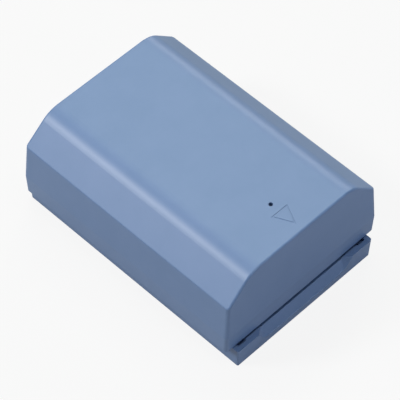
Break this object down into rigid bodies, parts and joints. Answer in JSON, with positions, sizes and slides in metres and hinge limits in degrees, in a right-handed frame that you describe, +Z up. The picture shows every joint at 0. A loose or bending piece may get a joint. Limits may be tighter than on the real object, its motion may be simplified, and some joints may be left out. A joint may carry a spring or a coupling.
{
  "type": "camera battery",
  "caption": "Rechargeable camera battery: a bevelled plastic case over a flat base cover with a scooped ledge at the contact end, holding round cells and a protection board.",
  "frame": {"origin": "centre of the bounding box, on the underside of the base cover", "axes": "+Z up from the base cover to the bevelled top, +Y along the pack away from the contact end, +X across"},
  "size_m": [0.0382, 0.0536, 0.0225],
  "materials": {
    "case_plastic": "fine satin texture",
    "cell_can": "nickel-plated steel",
    "fibre_paper": "pressed fibre",
    "nickel_strip": "rolled nickel",
    "black_foam": "closed-cell foam",
    "circuit_board": "green solder mask",
    "gold_contact": "gold plate",
    "black_epoxy": "moulded epoxy",
    "dark_ceramic": "glazed body, tinned ends",
    "pale_ceramic": "bare ceramic",
    "tan_ceramic": "bare ceramic, tinned ends"
  },
  "bodies": {
    "root": {"upper_case": "case_plastic", "base_cover": "case_plastic", "left_cell": "cell_can", "right_cell": "cell_can", "left_washer": "fibre_paper", "right_washer": "fibre_paper", "series_link": "nickel_strip", "plus_tab": "nickel_strip", "minus_tab": "nickel_strip", "insulating_sheet": "fibre_paper", "contact_end_foam": "black_foam", "far_end_foam": "black_foam", "protection_board": "circuit_board", "plus_contact": "gold_contact", "data_contact": "gold_contact", "temperature_contact": "gold_contact", "minus_contact": "gold_contact", "protection_chip": "black_epoxy", "gauge_chip": "black_epoxy", "charge_switch": "black_epoxy", "discharge_switch": "black_epoxy", "sense_resistor": "dark_ceramic", "fuse": "pale_ceramic", "thermistor": "dark_ceramic", "capacitors": "tan_ceramic", "resistors": "dark_ceramic"}
  },
  "joints": []
}
